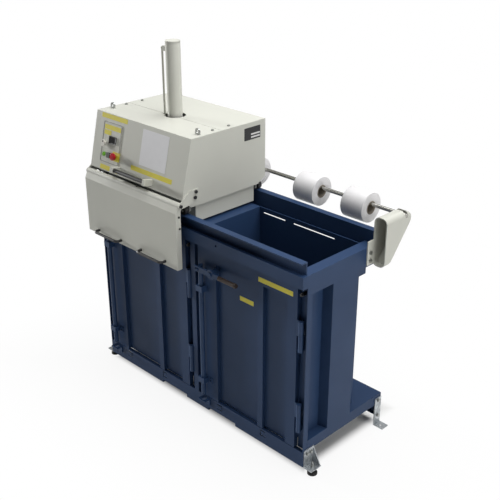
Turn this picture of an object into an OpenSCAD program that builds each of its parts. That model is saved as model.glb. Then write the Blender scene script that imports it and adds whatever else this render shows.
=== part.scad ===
// Two-chamber waste compactor: two top-loaded chambers side by side and one press head on rails.
// X runs along the front from left to right, Y to the rear, Z up from the floor.
// The origin lies on the floor, midway between the two floor-fixing holes at the rear.

/* [Base] */
// clear height between the floor and the sills
floor_gap = 40; // [30:1:60]
// height of the front sill
sill_h = 83; // [70:1:95]
// depth of the folded top of the front sill
sill_d = 20; // [16:1:22]
// height of the deck's top above the sill's lower edge
deck_h = 140; // [120:1:160]
// thickness of the deck plate
deck_t = 10; // [6:1:12]
// depth of the base from the door front to the rear sill
base_d = 604; // [570:1:660]
// height of the side skirts under the deck
skirt_h = 47; // [30:1:70]
// thickness of the frame's sheet steel
sheet_t = 4; // [3:0.5:6]
// width of a fork notch in the front sill
fork_w = 200; // [150:1:240]
// distance of a fork notch from the middle of the sill
fork_x = 187; // [150:1:230]
// height of a fork notch
fork_h = 16; // [10:1:30]
// width of a strap tab cut free in the front sill
tab_w = 36; // [30:1:44]
// height of a strap tab
tab_h = 28; // [22:1:32]
// width of the cut round a strap tab
tab_cut_w = 5; // [3:1:6]
// height of the strap tabs' middle above the sill's lower edge
tab_z = 57; // [45:1:58]

/* [Chambers] */
// inside width of one chamber
chamber_w = 645; // [600:1:700]
// inside depth of one chamber
chamber_d = 394; // [380:1:410]
// width of the wall between the chambers
divider_w = 90; // [80:1:110]
// thickness of an end frame outside its chamber
end_w = 60; // [50:1:80]
// thickness of the end posts
post_t = 4; // [3:0.5:6]
// share of the free depth that lies ahead of the raised column
column_share = 0.65; // [0.4:0.05:0.8]
// width of the raised column on an end wall
column_w = 174; // [140:1:190]
// run of the slanted sides of the column
column_slant = 13; // [8:1:24]
// distance of the recess beside the column from the chamber's side
column_in = 10; // [8:1:30]
// width of the post between the doors
centre_post_w = 32; // [28:1:36]
// distance of the strap slots below the top of the rear wall
slot_drop = 30; // [21:1:66]
// height of one strap slot
slot_h = 7; // [5:1:10]
// ends of the short strap slot, from the middle of the machine
slot_short = [70, 222]; // [60:1:240]
// ends of the long strap slot, from the middle of the machine
slot_long = [277, 542]; // [260:1:600]

/* [Beams and rails] */
// height of the rail tops above the floor
rail_top = 1128; // [1110:1:1160]
// height of the rails above the beams
rail_h = 62; // [50:1:70]
// width of a rail's running flange
rail_w = 36; // [30:1:42]
// thickness of the rail section
rail_t = 6; // [5:1:8]
// height of the front beam
front_beam_h = 60; // [50:1:65]
// height of the end beams and of the centre beam
end_beam_h = 100; // [90:1:120]
// wall thickness of the beams
beam_t = 5; // [4:1:8]
// distance the front beam stands ahead of the doors
front_over = 34; // [30:1:40]
// distance of the rear rail's web behind the chambers
rail_back = 42; // [31:1:51]
// distance the rails stop short of each end of the frame
rail_short = 10; // [4:1:20]
// height of the beam across the back of the rear wall
rear_beam_h = 80; // [60:1:100]
// depth of the beam across the back of the rear wall
rear_beam_d = 60; // [40:1:80]
// distance of the hole in the front beam from the middle of the machine
beam_hole_x = 201; // [180:1:240]
// diameter of the hole in the front beam
beam_hole_d = 12; // [8:1:14]

/* [Doors] */
// distance of a door's latch edge from the middle, and of its hinge axis from the end
door_x = 34; // [30:1:36]
// depth of a door's folded skin
door_t = 22; // [18:1:22]
// thickness of a door's sheets
door_sheet = 3; // [2:0.5:3]
// gap between a door and the sill
door_gap = 3; // [2:1:6]
// gap between a closed door and the frame behind it
door_seat = 1; // [0.5:0.5:3]
// gap between a door and the front beam
door_head = 9; // [6:1:14]
// height of the plain strip across the top of a door
door_bar_h = 80; // [60:1:100]
// width of the flat strip on the latch side
door_left = 128; // [110:1:132]
// width of the recess beside that strip
recess_left = 283; // [260:1:300]
// width of the raised rib between the recesses
door_band = 35; // [24:1:50]
// width of the flat strip on the hinge side
door_right = 60; // [40:1:70]

/* [Hinges] */
// diameter of a hinge knuckle
knuckle_d = 24; // [20:1:26]
// height of one hinge knuckle
knuckle_h = 78; // [60:1:90]
// diameter of a hinge pin
pin_d = 12; // [10:1:14]
// distance of the hinge axis from the door's edge
hinge_off = 25; // [22:1:26]
// height of the lower hinges' middle above the door's lower edge
hinge_up = 182; // [140:1:230]
// distance of the upper hinges' middle below the door's upper edge
hinge_down = 249; // [200:1:300]
// radial running clearance of turning pins
run_gap = 0.05; // [0.02:0.01:0.1]

/* [Latches] */
// diameter of a latch rod
bolt_d = 25; // [20:1:28]
// distance of a latch rod from the door's edge
bolt_x = 41; // [36:1:46]
// distance of a latch rod ahead of the door
bolt_y = 20; // [18:1:22]
// height of a released latch rod's lower end above the door's lower edge
bolt_up = 24; // [18:1:30]
// travel of a latch rod
bolt_travel = 46; // [40:1:50]
// distance of the latch lever's pivot below the door's upper edge
lever_drop = 117; // [107:1:137]
// distance between the latch rod and the lever's pivot
lever_arm = 90; // [80:1:100]
// length of the lever from its pivot to the grip's end
lever_reach = 178; // [150:1:200]
// thickness of the lever
lever_t = 8; // [6:1:8]
// length of the grip on the lever
grip_len = 120; // [100:1:130]
// diameter of the grip
grip_d = 22; // [18:1:26]
// diameter of the lever's pivot
lever_pin = 14; // [10:1:16]
// diameter of the stud that joins rod and lever
stud_d = 10; // [8:1:12]
// sliding clearance round a latch rod
slide_gap = 0.3; // [0.2:0.1:0.6]
// height of the lower latch guide above the door's lower edge
guide_up = 114; // [94:1:134]
// thickness of the bolted ear on the lower latch guide
ear_t = 4; // [3:1:6]
// thread of the bolts in that ear
ear_bolt = 6; // [5:1:7]
// diameter of a door switch
switch_d = 18; // [14:1:20]
// length of a door switch
switch_len = 26; // [20:1:30]
// length of a door switch's plunger
plunger_len = 8; // [6:1:10]
// distance of the door switches below the door's upper edge
switch_drop = 36; // [30:1:50]

/* [Press head] */
// amount by which the head is narrower than the distance between the chambers
head_gap = 3; // [2:1:15]
// height of the head's top above the rails
head_h = 378; // [352:1:412]
// distance of the head's top edge behind the door front
head_front = 11; // [0:1:30]
// distance of the slanted front's lower edge ahead of the door front
slope_out = 58; // [50:1:60]
// height of the slanted front's lower edge above the rails
slope_up = 90; // [88:1:112]
// distance of the head's back behind the rear rail's web
head_back = 41; // [39:1:46]
// height of the side panels' lower edge above the rails
panel_up = 41; // [32:1:52]
// depth of the cut-off lower corner at the back of a side panel
corner_d = 55; // [40:1:60]
// height of that cut-off corner
corner_h = 32; // [20:1:40]
// distance of the lower edge of the skirts below the rail tops
skirt_drop = 49; // [43:1:54]
// thickness of the head's panels
panel_t = 3; // [2:0.5:4]
// distance of the seam between the top panels ahead of the press axis
seam_off = 19; // [11:1:27]
// diameter of a head roller
roller_d = 44; // [40:1:56]
// width of a head roller
roller_w = 24; // [18:1:24]
// distance of the rollers from the head's sides
roller_in = 34; // [30:1:80]
// thickness of the head's roller bars
bar_t = 12; // [10:1:14]
// height of the head's frame bars
bar_h = 36; // [30:1:40]
// diameter of the roller axles
axle_d = 12; // [10:1:14]
// gap between a roller and its rail
roller_gap = 0.3; // [0.2:0.1:0.5]
// distance of the lifting lugs from the head's sides
lug_in = 36; // [26:1:66]
// distance of the lifting lugs behind the door front
lug_y = 84; // [60:1:120]
// radius of a lifting lug
lug_r = 15; // [13:1:18]
// diameter of a lifting lug's eye
lug_eye = 16; // [12:1:18]
// thickness of a lifting lug
lug_t = 8; // [6:1:10]
// thread of the bolts on the head
head_bolt = 8; // [6:1:10]
// thread of the bolts on the frame
frame_bolt = 10; // [8:1:12]

/* [Cylinder and ram] */
// outside diameter of the cylinder
cyl_d = 76; // [70:1:80]
// bore of the cylinder
cyl_bore = 60; // [54:1:62]
// height of the gland round the piston rod
gland_h = 30; // [24:1:40]
// height of the piston
piston_h = 30; // [24:1:40]
// height of the cylinder's head above the piston
cyl_head = 42; // [36:1:60]
// diameter of the oil pipe beside the cylinder
pipe_d = 11; // [8:1:14]
// gap between the oil pipe's axis and the cylinder's side
pipe_gap = 20; // [16:1:26]
// distance of the oil pipe ahead of the press axis
pipe_y = 20; // [10:1:24]
// distance of the pipe's upper elbow below the cylinder's top
pipe_drop = 40; // [32:1:60]
// height of the pipe's lower end above the cylinder's foot
pipe_rise = 60; // [40:1:90]
// width of the oil port the pipe ends in
port_w = 24; // [18:1:28]
// distance the oil port stands out of the cylinder's side
port_out = 6; // [4:1:10]
// thickness of the plate that carries the cylinder
seat_t = 15; // [12:1:20]
// diameter of the piston rod
ram_d = 45; // [38:1:46]
// working stroke of the ram
stroke = 560; // [500:1:570]
// gap between the press plate and the chamber walls
plate_gap = 12; // [8:1:20]
// thickness of the press plate
plate_t = 12; // [10:1:14]
// height of the press plate's ribs
rib_h = 24; // [20:1:26]
// distance of the raised press plate's underside below the rail tops
plate_drop = 44; // [40:1:46]

/* [Power unit] */
// gap between the oil tank and the head's side
tank_gap = 33; // [20:1:60]
// depth of the oil tank
tank_d = 200; // [160:1:220]
// height of the oil tank
tank_h = 120; // [90:1:140]
// diameter of the pump motor
motor_d = 130; // [110:1:150]
// height of the pump under the motor
pump_h = 25; // [20:1:40]
// gap between the pump motor and the head's top
motor_gap = 43; // [30:1:70]
// gap between the electric box and the head's side
ebox_gap = 43; // [30:1:80]
// depth of the electric box
ebox_d = 180; // [140:1:200]
// height of the electric box
ebox_h = 200; // [150:1:240]
// distance of the power unit from the press axis
unit_x = 110; // [100:1:120]

/* [Flap] */
// distance of the flap ahead of the door front
flap_y = 100; // [95:1:105]
// distance of the flap's lower edge below the rail tops
flap_drop = 265; // [248:1:278]
// height of the flap's crease above the rails
crease_up = 32; // [22:1:42]
// distance of the flap's pivot ahead of the door front
pivot_y = 72; // [70:1:74]
// height of the flap's pivot above the rails
pivot_up = 66; // [62:1:68]
// radius of the rolled upper edge of the flap
roll_r = 15; // [14:1:16]
// depth of the flap's end flanges
flap_flange = 30; // [24:1:32]
// thickness of the flap's sheet
flap_t = 3; // [2:0.5:4]
// diameter of the flap's pivot pins
flap_pin = 12; // [10:1:14]
// thickness of the flap arms
arm_t = 4; // [3:1:6]
// height of the flap arms above the pivot
arm_h = 62; // [50:1:70]
// distance of the flap arms' ends behind the door front
arm_back = 44; // [36:1:60]
// distance between the middles of the two bow handles
handle_pitch = 356; // [320:1:400]
// length of a bow handle between its legs
handle_len = 190; // [160:1:210]
// distance of a bow handle's bar off the flap
handle_out = 32; // [28:1:40]
// diameter of a bow handle's bar
handle_d = 14; // [10:1:16]
// bend radius of a bow handle's bar
handle_r = 18; // [14:1:22]

/* [Roll holder] */
// diameter of the roll rod
rod_d = 20; // [16:1:24]
// distance of the roll rod ahead of the roll brackets' ends
rod_end = 35; // [30:1:50]
// distance of the roll rod below the top of the roll brackets
rod_down = 21; // [16:1:30]
// diameter of a strap roll
roll_d = 150; // [130:1:156]
// bore of a strap roll
core_d = 58; // [50:1:64]
// width of a strap roll
roll_w = 190; // [160:1:210]
// distance between the two rolls of a pair
roll_pitch = 310; // [290:1:320]
// width of a roll bracket
bracket_w = 72; // [60:1:80]
// distance of a roll bracket's front ahead of the rear rail's web
bracket_lap = 16; // [12:1:20]
// length of a roll bracket from front to back
bracket_d = 185; // [180:1:210]
// height of a roll bracket
bracket_h = 245; // [240:1:260]
// radius of a roll bracket's rounded edges
bracket_r = 28; // [16:1:30]
// radius of a roll bracket's rear end
bracket_end = 38; // [30:1:40]
// depth of a roll bracket's lower end
bracket_foot = 30; // [20:1:50]
// width of the bolted strip beside a roll bracket
bracket_strip = 44; // [36:1:60]

/* [Feet] */
// diameter of a levelling foot
foot_d = 50; // [40:1:56]
// distance of the levelling feet outside the base
foot_out = 28; // [27:1:32]
// distance of the levelling feet behind the door front
foot_y = 40; // [36:1:46]
// thickness of the galvanized brackets
galv_t = 5; // [4:0.5:6]
// width of a foot bracket
foot_w = 70; // [60:1:80]
// height of a foot bracket
foot_h = 100; // [80:1:120]
// diameter of a foot's threaded stem
stem_foot = 12; // [10:1:14]
// distance of the floor-fixing holes outside the base
fix_out = 30; // [26:1:36]
// distance of the floor-fixing holes ahead of the back of the base
fix_in = 26; // [25:1:44]
// diameter of a floor-fixing hole
fix_d = 13; // [11:0.5:15]
// width of a rear floor bracket
fix_w = 50; // [44:1:56]

/* [Controls] */
// width of the control plate
panel_w = 150; // [140:1:160]
// distance of the control plate below the head's top edge
panel_top = 42; // [30:1:50]
// middle of the control plate left of the head's middle
panel_x = 218; // [200:1:230]
// distance of the control plate above the slanted front's lower edge
panel_foot = 44; // [36:1:60]
// diameter of the start button
start_d = 22; // [18:1:24]
// diameter of the emergency stop's mushroom
stop_d = 38; // [34:1:40]
// diameter of the control stems
stem_d = 16; // [14:1:18]
// length of the push bar on the slanted front
bar_len = 240; // [220:1:260]
// diameter of the push bar
bar_d = 20; // [16:1:22]
// distance of the push bar off the slanted front
bar_out = 38; // [34:1:42]
// distance of the push bar above the slanted front's lower edge
bar_up = 30; // [28:1:34]
// width of the end blocks of the push bar
bar_block = 20; // [16:1:24]
// distance of the tray under the push bar from the bar's left end
tray_in = 55; // [40:1:80]

/* [Hidden] */
$fn = 48;
blue = "#2b3a55";
grey = "#c8c8c0";
steel = "#a8abae";
zinc = "#c4c8cc";
black = "#1c1c1e";
white = "#ecebe6";
// sides and heights that follow from the sizes above
half_w = divider_w / 2 + chamber_w + end_w;
wall_x = divider_w / 2 + chamber_w;
pitch = divider_w + chamber_w;
head_x = -pitch / 2;
head_w = pitch - head_gap;
side_in = head_w / 2 - panel_t;
column_depth = end_w - column_in;
sill_top = floor_gap + sill_h;
deck_top = floor_gap + deck_h;
beam_top = rail_top - rail_h;
beam_low = beam_top - front_beam_h;
end_low = beam_top - end_beam_h;
slot_z = beam_top - slot_drop;
fix_y = base_d - fix_in;
door_back = door_t + door_sheet;
chamber_y = door_back + door_seat + post_t;
rear_y = chamber_y + chamber_d;
press_y = chamber_y + chamber_d / 2;
rear_rail_y = rear_y + rail_back;
column_y = chamber_y + (chamber_d - column_w) * column_share;
door_pitch = half_w;
door_w = half_w - 2 * door_x - hinge_off;
door_low = sill_top + door_gap;
door_high = beam_low - door_head;
recess_right = door_w - door_left - recess_left - door_band - door_right;
hinge_x = door_x + door_w + hinge_off;
hinge_low = door_low + hinge_up;
hinge_high = door_high - hinge_down;
latch_x = door_x + bolt_x;
bolt_low = door_low + bolt_up;
guide_z = door_low + guide_up;
lever_x = latch_x + lever_arm;
lever_y = -bolt_y - bolt_d / 2 - 2;
lever_z = door_high - lever_drop;
head_top = rail_top + head_h;
head_rear = rear_rail_y + head_back;
slope_low = rail_top + slope_up;
slope_a = -atan((head_front + slope_out) / (head_top - slope_low));
slope_len = norm([head_front + slope_out, head_top - slope_low]);
panel_low = rail_top + panel_up;
rear_low = panel_low + corner_h;
skirt_low = rail_top - skirt_drop;
top_seam = press_y - seam_off;
lug_x = head_w / 2 - lug_in;
roller_z = rail_top + roller_d / 2 + roller_gap;
front_run = rail_w / 2 - front_over;
rear_run = rear_rail_y + rail_w / 2;
cyl_low = panel_low + bar_h + seat_t;
cyl_top = cyl_low + gland_h + stroke + piston_h + cyl_head;
pipe_x = -cyl_d / 2 - pipe_gap;
plate_low = rail_top - plate_drop;
plate_top = plate_low + plate_t + rib_h;
piston_top = cyl_top - 20;
unit_z = panel_low + bar_h;
tank_w = side_in - unit_x - tank_gap;
ebox_w = side_in - unit_x - ebox_gap;
motor_h = head_top - panel_t - motor_gap - pump_h - tank_h - unit_z;
flap_low = rail_top - flap_drop;
flap_crease = rail_top + crease_up;
pivot_z = rail_top + pivot_up;
panel_h = slope_len - panel_top - panel_foot;
panel_s = panel_top + panel_h / 2;
panel_end = slope_len - panel_foot;
bar_s = slope_len - bar_up;
start_x = -panel_x - 44;
start_s = panel_end - 41;
stop_x = -panel_x + 48;
stop_s = panel_end - 45;
turn_x = -panel_x + 3;
turn_s = panel_end - 43;
key_x = -panel_x - 52;
key_s = panel_end - 97;
bracket_y = rear_rail_y - bracket_lap;
bracket_low = end_low;
bracket_top = bracket_low + bracket_h;
rod_y = bracket_y + bracket_d - rod_end;
rod_z = bracket_top - rod_down;
roll_drop = core_d / 2 - rod_d / 2 - slide_gap;
bolt_clear = bolt_d / 2 + slide_gap;
foot_low = floor_gap - 6;
foot_end = foot_out + 24;

// node to draw, or all of them

// turn a direction a quarter to the left
function left_of(v) = [-v[1], v[0]];
// direction of leg i of a path
function leg(p, i) = (p[i + 1] - p[i]) / norm(p[i + 1] - p[i]);
// corner i of a path, moved to the left by t with mitred folds
function mitre(p, i, t) =
    let (a = left_of(leg(p, max(i - 1, 0))), b = left_of(leg(p, min(i, len(p) - 2))))
    p[i] + (a + b) * t / (1 + a * b);
// points of an arc about c from angle a to angle b
function arc(c, r, a, b, n) = [for (i = [0:n]) c + r * [cos(a + (b - a) * i / n), sin(a + (b - a) * i / n)]];

// section of a sheet of thickness t, folded along a path
module folded(p, t) {
    last = len(p) - 1;
    polygon(concat(p, [for (i = [last:-1:0]) mitre(p, i, t)]));
}

// block between three pairs of limits
module block(x, y, z) {
    translate([x[0], y[0], z[0]])
        cube([x[1] - x[0], y[1] - y[0], z[1] - z[0]]);
}

// section in Y and Z, drawn out along X
module along_x(x) {
    translate([x[0], 0, 0])
        rotate([90, 0, 90])
            linear_extrude(x[1] - x[0])
                children();
}

// section in X and Z, drawn out along Y
module along_y(y) {
    translate([0, y[1], 0])
        rotate([90, 0, 0])
            linear_extrude(y[1] - y[0])
                children();
}

// section in X and Y, drawn up along Z
module along_z(z) {
    translate([0, 0, z[0]])
        linear_extrude(z[1] - z[0])
            children();
}

// hollow rectangular section
module hollow(a, b, t) {
    difference() {
        translate([a[0], b[0]])
            square([a[1] - a[0], b[1] - b[0]]);
        translate([a[0] + t, b[0] + t])
            square([a[1] - a[0] - 2 * t, b[1] - b[0] - 2 * t]);
    }
}

// rectangle with round corners, about its middle
module rounded(w, h, r) {
    square([w - 2 * r, h], center = true);
    square([w, h - 2 * r], center = true);
    for (x = [-1, 1], y = [-1, 1])
        translate([x * (w / 2 - r), y * (h / 2 - r)])
            circle(r);
}

// ring drawn along X
module ring_x(x, y, z, r, hole) {
    translate([0, y, z])
        along_x(x)
            difference() {
                circle(r);
                circle(hole);
            }
}

// hexagon bolt head with a washer, standing on a face that looks along -Y
module bolt_y_head(d) {
    rotate([90, 0, 0]) {
        cylinder(h = 1.6, d = 2 * d);
        translate([0, 0, 1.6])
            cylinder(h = 0.6 * d, d = 1.8 * d, $fn = 6);
    }
}

// all measures in Y count from the door front
module from_front() {
    translate([0, -fix_y, 0])
        children();
}

// a piece and its mirror image on the other side
module both_sides() {
    children();
    mirror([1, 0, 0])
        children();
}

// a piece at both doors
module both_doors() {
    children();
    translate([-door_pitch, 0, 0])
        children();
}

// a piece on the press head, counted from the head's middle
module on_head() {
    translate([head_x, 0, 0])
        children();
}

// a piece on the slanted front, x from the middle and s down from the top edge; -Y stands off the face
module on_slope(x, s) {
    on_head()
        translate([x, head_front, head_top])
            rotate([slope_a, 0, 0])
                translate([0, 0, -s])
                    children();
}

module deck() {
    color(blue)
        from_front()
            block([-half_w, half_w], [chamber_y + 1, base_d], [deck_top - deck_t, deck_top]);
}

// narrow three-sided cut round a strap tab
module tab_cut(x, side) {
    c = tab_cut_w / 2;
    translate([x, 0, floor_gap + tab_z]) {
        for (k = [-1, 1])
            translate([0, 0, k * tab_h / 2])
                block([-tab_w / 2, tab_w / 2], [-1, sheet_t + 1], [-c, c]);
        translate([side * (tab_w / 2 - c), 0, 0])
            block([-c, c], [-1, sheet_t + 1], [-tab_h / 2, tab_h / 2]);
    }
}

module front_sill() {
    z0 = floor_gap;
    tab_mid = door_x + door_w / 2 - 35;
    color(blue)
        from_front()
            difference() {
                along_x([-half_w, half_w])
                    folded([[sill_d, z0], [0, z0], [0, sill_top], [sill_d, sill_top]], -sheet_t);
                for (s = [-1, 1])
                    block([s * fork_x - fork_w / 2, s * fork_x + fork_w / 2], [-1, sill_d + 1],
                        [z0 - 1, z0 + fork_h]);
                both_doors() {
                    tab_cut(tab_mid - roll_pitch / 2, 1);
                    tab_cut(tab_mid + roll_pitch / 2, -1);
                }
            }
}

module rear_sill() {
    color(blue)
        from_front()
            along_x([-half_w, half_w])
                folded([[base_d, deck_top - deck_t], [base_d, floor_gap], [base_d - sill_d, floor_gap]],
                    -sheet_t);
}

module side_skirts() {
    z1 = deck_top - deck_t;
    color(blue)
        from_front()
            both_sides()
                block([half_w - sheet_t, half_w], [chamber_y + 1, base_d - sheet_t], [z1 - skirt_h, z1]);
}

// end wall seen from above: recess, raised column, recess
function end_path() =
    let (x0 = half_w - column_depth, x1 = half_w, y1 = column_y + column_w)
    [[x0, chamber_y], [x0, column_y - column_slant], [x1, column_y], [x1, y1], [x0, y1 + column_slant],
        [x0, rear_y]];

module end_walls() {
    color(blue)
        from_front()
            both_sides()
                along_z([deck_top, end_low])
                    folded(end_path(), sheet_t);
}

module end_posts() {
    y1 = chamber_y;
    color(blue)
        from_front()
            both_sides()
                along_z([sill_top, beam_low])
                    folded([[half_w, 0], [half_w, y1], [wall_x + sheet_t, y1]], post_t);
}

// box post between the doors, with a jamb on each side
module centre_post() {
    x = centre_post_w / 2;
    x0 = door_x + door_w - door_pitch + 2;
    color(blue)
        from_front()
            along_z([sill_top, beam_low]) {
                translate([-4, 0])
                    hollow([-x, x], [0, chamber_y], sheet_t);
                translate([x0, chamber_y - post_t])
                    square([-x - x0, post_t]);
                translate([x - 5, chamber_y - sheet_t])
                    square([divider_w / 2 - x + 5, sheet_t]);
            }
}

// flat sheets that line the chambers, with strap slots in the rear one
module chamber_walls() {
    x = divider_w / 2;
    z = [deck_top, end_low];
    color(blue)
        from_front() {
            both_sides() {
                block([x - sheet_t, x], [chamber_y, rear_y], z);
                block([wall_x, wall_x + sheet_t], [chamber_y, rear_y], z);
            }
            difference() {
                block([-wall_x, wall_x], [rear_y, rear_y + sheet_t], [deck_top, beam_top]);
                both_sides()
                    for (c = [slot_short, slot_long])
                        block(c, [rear_y - 1, rear_y + sheet_t + 1], [slot_z, slot_z + slot_h]);
            }
        }
}

module cross_beams() {
    x = divider_w / 2;
    color(blue)
        from_front() {
            both_sides()
                along_y([chamber_y, rear_rail_y])
                    hollow([wall_x, half_w], [end_low, beam_top], beam_t);
            along_y([chamber_y, rear_y])
                hollow([-x, x], [end_low, beam_top], beam_t);
        }
}

// plates that close the open ends of the beams
module beam_caps() {
    t = beam_t;
    color(blue)
        from_front()
            both_sides() {
                for (y = [chamber_y, rear_rail_y - t])
                    block([wall_x + t, half_w - t], [y, y + t], [end_low + t, beam_top - t]);
                block([half_w - t, half_w], [-front_over + t, chamber_y - t], [beam_low + t, beam_top - t]);
                block([wall_x - t, wall_x], [rear_y + sheet_t + t, rear_y + sheet_t + rear_beam_d - t],
                    [end_low - rear_beam_h + t, end_low - t]);
            }
}

module front_beam() {
    color(blue)
        from_front()
            difference() {
                along_x([-half_w, half_w])
                    hollow([-front_over, chamber_y], [beam_low, beam_top], beam_t);
                translate([beam_hole_x, -front_over - 1, beam_low + front_beam_h * 0.57])
                    rotate([-90, 0, 0])
                        cylinder(h = beam_t + 2, d = beam_hole_d);
            }
}

module rear_beam() {
    y0 = rear_y + sheet_t;
    color(blue)
        from_front()
            along_x([-wall_x, wall_x])
                hollow([y0, y0 + rear_beam_d], [end_low - rear_beam_h, end_low], beam_t);
}

// inverted angle sections the head rolls on
module rails() {
    x0 = half_w - rail_short;
    x1 = half_w - 2;
    y0 = -front_over;
    y1 = rear_rail_y;
    color(blue)
        from_front() {
            along_x([-x0, x0])
                folded([[y0, rail_top], [y0 + rail_w, rail_top], [y0 + rail_w, beam_top]], -rail_t);
            along_x([-x1, x1])
                folded([[y1 + rail_w, rail_top], [y1, rail_top], [y1, beam_top - rail_h / 2]], rail_t);
        }
}

module foot_brackets() {
    z0 = foot_low;
    x1 = half_w + foot_end;
    y = [foot_y - foot_w / 2, foot_y + foot_w / 2];
    color(zinc)
        from_front()
            both_sides()
                difference() {
                    union() {
                        along_y(y)
                            folded([[half_w, z0 + foot_h], [half_w, z0], [x1, z0]], galv_t);
                        along_y([y[1] - galv_t, y[1]])
                            polygon([[half_w, z0], [x1, z0], [half_w, z0 + foot_h]]);
                    }
                    translate([half_w + foot_out, foot_y, z0 - 1])
                        cylinder(h = galv_t + 2, d = stem_foot + 1);
                }
}

module foot_pads() {
    color(black)
        from_front()
            both_sides()
                translate([half_w + foot_out, foot_y, 0]) {
                    cylinder(h = 9, d = foot_d);
                    translate([0, 0, 9])
                        cylinder(h = 5, d1 = foot_d, d2 = 26);
                }
}

module floor_brackets() {
    y = [fix_y - fix_w / 2, fix_y + fix_w / 2];
    color(zinc)
        from_front()
            both_sides()
                difference() {
                    along_y(y)
                        folded([[half_w, deck_top - 2 * deck_t], [half_w, 0], [half_w + 60, 0]], galv_t);
                    translate([half_w + fix_out, fix_y, -1])
                        cylinder(h = galv_t + 2, d = fix_d);
                }
}

// bolt head with washer on a face that looks along +X
module bolt_x_head(d) {
    rotate([0, 0, 90])
        bolt_y_head(d);
}

// bolt heads of the frame and the threaded stems of the feet
module frame_bolts() {
    color(steel)
        from_front()
            both_sides() {
                translate([half_w + foot_out, foot_y, 0]) {
                    translate([0, 0, 14])
                        cylinder(h = floor_gap + 14, d = stem_foot);
                    for (z = [foot_low + galv_t, foot_low - 9])
                        translate([0, 0, z])
                            cylinder(h = 9, d = 1.75 * stem_foot, $fn = 6);
                }
                for (z = [deck_top - 34, floor_gap + 14])
                    translate([half_w + galv_t, fix_y, z])
                        bolt_x_head(frame_bolt);
                for (y = [foot_y - 14, foot_y + 12])
                    translate([half_w + galv_t, y, floor_gap + 70])
                        bolt_x_head(frame_bolt);
                for (z = [end_low + 30, beam_top - 30])
                    translate([half_w + galv_t, bracket_y - 22, z])
                        bolt_x_head(frame_bolt);
            }
}

// lower half of a hinge: knuckle, pin and leaf on the post
module hinge_half(z) {
    translate([hinge_x, 0, z - knuckle_h]) {
        cylinder(h = knuckle_h, d = knuckle_d);
        cylinder(h = 2 * knuckle_h - 8, d = pin_d);
    }
}

// hinge halves on the posts and the lugs that take the latch rods
module door_hardware() {
    z0 = door_low - 8;
    y1 = -bolt_y - 20;
    color(steel)
        from_front()
            both_doors() {
                for (z = [hinge_low, hinge_high]) {
                    hinge_half(z);
                    block([hinge_x - 3, hinge_x + 3], [knuckle_d / 2 - 2, chamber_y - post_t],
                        [z - knuckle_h, z]);
                }
                difference() {
                    translate([latch_x, 0, 0])
                        along_x([-26, 26])
                            folded([[0, z0 - 40], [0, z0], [y1, z0]], 6);
                    translate([latch_x, -bolt_y, z0 - 10])
                        cylinder(h = 20, r = bolt_clear);
                }
            }
}

module door_switches() {
    color("#6b4a2c")
        from_front()
            both_doors()
                translate([hinge_x, chamber_y - post_t, door_high - switch_drop])
                    rotate([90, 0, 0]) {
                        cylinder(h = switch_len, d = switch_d);
                        translate([0, 0, switch_len])
                            cylinder(h = plunger_len, d = switch_d * 2 / 3);
                    }
}

// folded skin of a door with two recesses, seen from above
function door_path() =
    let (x1 = door_x + door_left, x2 = x1 + recess_left, x3 = x2 + door_band, x4 = x3 + recess_right,
        x5 = door_x + door_w, d = door_t - door_sheet)
    [[door_x, door_t], [door_x, 0], [x1, 0], [x1, d], [x2, d], [x2, 0], [x3, 0], [x3, d], [x4, d],
        [x4, 0], [x5, 0], [x5, door_t]];

module door_skin() {
    z1 = door_high - door_bar_h;
    along_z([door_low, z1])
        folded(door_path(), door_sheet);
    along_z([z1, door_high])
        folded([[door_x, door_t], [door_x, 0], [door_x + door_w, 0], [door_x + door_w, door_t]], door_sheet);
    for (x = [[door_x + door_left - 1, door_x + door_left + recess_left + 1],
            [door_x + door_w - door_right - recess_right - 1, door_x + door_w - door_right + 1]])
        block(x, [1, door_t], [z1, z1 + door_sheet]);
}

module door_liner() {
    block([door_x, door_x + door_w], [door_t, door_t + door_sheet], [door_low, door_high]);
}

// guides of the latch rod, lever pivot and upper hinge halves of a door
module door_fittings() {
    for (z = [guide_z, lever_z - 110])
        difference() {
            block([latch_x - 22, latch_x + 22], [-bolt_y - 18, 0], [z - 16, z + 16]);
            translate([latch_x, -bolt_y, z - 17])
                cylinder(h = 34, r = bolt_clear);
        }
    block([latch_x + 20, latch_x + 50], [-ear_t, 0], [guide_z - 16, guide_z + 16]);
    for (dz = [-8, 8])
        translate([latch_x + 37, -ear_t, guide_z + dz])
            bolt_y_head(ear_bolt);
    translate([lever_x, 0, lever_z])
        rotate([90, 0, 0]) {
            cylinder(h = -lever_y - 0.5, d = 40);
            cylinder(h = -lever_y + lever_t + 0.5, d = lever_pin);
            translate([0, 0, -lever_y + lever_t + 0.5])
                cylinder(h = 6, d = lever_pin + 10, $fn = 6);
        }
    for (z = [hinge_low, hinge_high])
        difference() {
            union() {
                translate([hinge_x, 0, z + 0.5])
                    cylinder(h = knuckle_h, d = knuckle_d);
                block([door_x + door_w, hinge_x - knuckle_d / 2 + 3], [-3, 3],
                    [z + 0.5, z + 0.5 + knuckle_h]);
            }
            translate([hinge_x, 0, z])
                cylinder(h = knuckle_h - 4, d = pin_d + 2 * run_gap);
        }
}

// latch rod with the stud that the lever moves
module latch_rod() {
    translate([latch_x, -bolt_y, bolt_low])
        cylinder(h = lever_z + 18 - bolt_low, d = bolt_d);
    translate([latch_x, -bolt_y, lever_z])
        rotate([90, 0, 0])
            cylinder(h = bolt_d / 2 + lever_t + 8, d = stud_d);
}

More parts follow.
